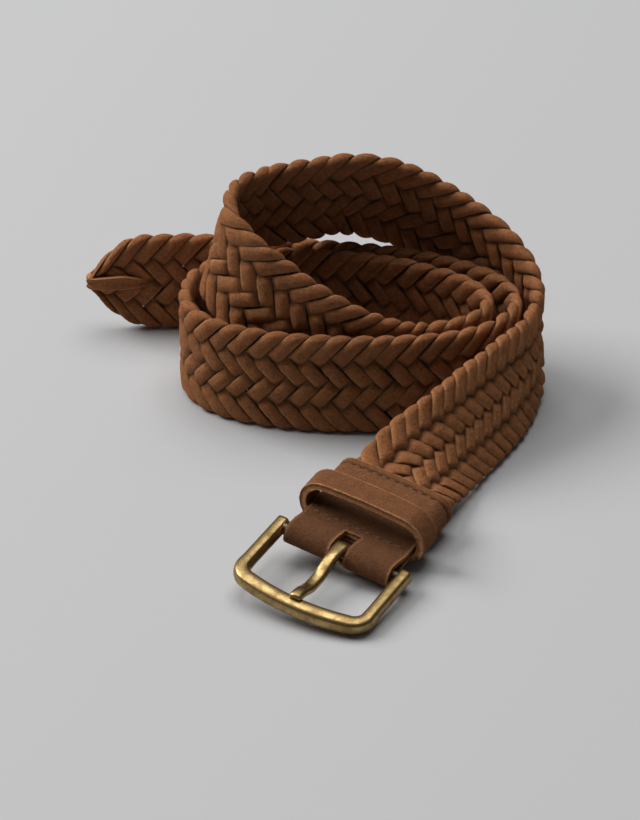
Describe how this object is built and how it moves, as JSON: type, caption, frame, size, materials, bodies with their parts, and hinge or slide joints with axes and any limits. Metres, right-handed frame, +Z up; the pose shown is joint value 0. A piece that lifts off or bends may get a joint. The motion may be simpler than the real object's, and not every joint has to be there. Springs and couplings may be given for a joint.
{
  "type": "belt",
  "caption": "Braided suede belt with a single-prong brass buckle, tab, keeper loop and cover band, coiled on its edge.",
  "frame": {"origin": "centre of the coiled belt's box, on the floor it stands on", "axes": "+Z up, along the strap's width in the coil; the buckle end points towards -Y and -X, the free tail points towards -X"},
  "size_m": [0.1574, 0.1877, 0.0768],
  "materials": {
    "lace_suede": "napped suede laces, matt",
    "tab_suede": "napped split suede with raw edges, matt",
    "antique_brass": "antiqued brass, satin with dark recesses",
    "steel_pin": "bronzed steel, satin",
    "thread": "waxed thread"
  },
  "bodies": {
    "coil": {"braid_back_run": "lace_suede", "braid_front_run": "lace_suede", "braid_inner_turn": "lace_suede", "braid_rise": "lace_suede", "braid_upper_turn": "lace_suede", "braid_outer_turn": "lace_suede", "braid_end": "lace_suede", "cover_band": "tab_suede", "cover_stitches": "thread", "tab": "tab_suede", "tab_stitches": "thread"},
    "tail": {"braid_tail_tip": "lace_suede", "braid_tail": "lace_suede"},
    "loop": {"keeper": "tab_suede", "keeper_staple": "antique_brass"},
    "frame": {"buckle_frame": "antique_brass", "heel_bar": "steel_pin"},
    "tongue": {"prong": "antique_brass"}
  },
  "joints": [
    {"name": "tail_bend", "type": "hinge", "parent": "coil", "child": "tail", "pos_m": [-0.0397, 0.0909, 0.019], "axis": [0, 0, 1], "range_deg": [-25, 25]},
    {"name": "keeper_slide", "type": "slide", "parent": "coil", "child": "loop", "axis": [-0.4988, -0.8639, -0.0698], "range_m": [-0.003, 0.002]},
    {"name": "frame_pivot", "type": "hinge", "parent": "coil", "child": "frame", "pos_m": [0.0078, -0.0581, 0.0076], "axis": [-0.8638, 0.4889, 0.1216], "range_deg": [-40, 35]},
    {"name": "prong_pivot", "type": "hinge", "parent": "frame", "child": "tongue", "pos_m": [0.0078, -0.0581, 0.0076], "axis": [-0.8638, 0.4889, 0.1216], "range_deg": [0, 85]}
  ]
}
